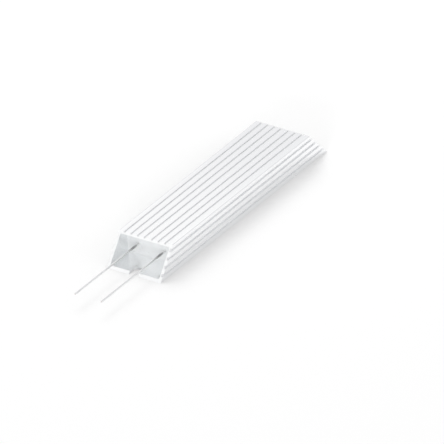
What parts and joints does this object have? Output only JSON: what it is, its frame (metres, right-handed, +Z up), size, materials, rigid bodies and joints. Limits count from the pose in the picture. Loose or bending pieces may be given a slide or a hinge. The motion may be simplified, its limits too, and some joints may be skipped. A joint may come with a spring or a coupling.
{
  "type": "aluminium housed power resistor",
  "caption": "Wirewound power resistor in a grooved flat aluminium tube with slanted ends, for screwing to a chassis, with stiff wire leads from a recessed seal at one end.",
  "frame": {"origin": "centre of the flat mounting face under the tube, midway between its two ends", "axes": "+X across the tube to the right seen from the lead end, +Y along the tube away from the leads, +Z up from the mounting face"},
  "size_m": [0.06, 0.3355, 0.028],
  "materials": {
    "housing": "pale natural anodised extrusion, satin, faint lengthwise die lines, sawn ends",
    "seal": "light grey cast sealing compound, matt",
    "mica": "pressed mica sheet, faint flakes",
    "filling": "baked mineral filling, matt",
    "ceramic": "fired ceramic, off white",
    "winding": "oxidised resistance wire in cement coat",
    "ferrule": "drawn steel cup, plain",
    "strap": "punched strip",
    "lead": "tinned copper wire, satin",
    "sleeve": "dark grey shrink sleeve, matt"
  },
  "bodies": {
    "root": {"housing": "housing", "front_seal": "seal", "rear_seal": "seal", "mica_top": "mica", "mica_base": "mica", "mica_left": "mica", "mica_right": "mica", "filling": "filling", "former_left": "ceramic", "former_right": "ceramic", "winding_left": "winding", "winding_right": "winding", "front_ferrule_left": "ferrule", "front_ferrule_right": "ferrule", "rear_ferrule_left": "ferrule", "rear_ferrule_right": "ferrule", "link_strap": "strap", "terminal_pin_left": "lead", "terminal_pin_right": "lead", "lead_left": "lead", "lead_right": "lead", "joint_sleeve_left": "sleeve", "joint_sleeve_right": "sleeve"}
  },
  "joints": []
}
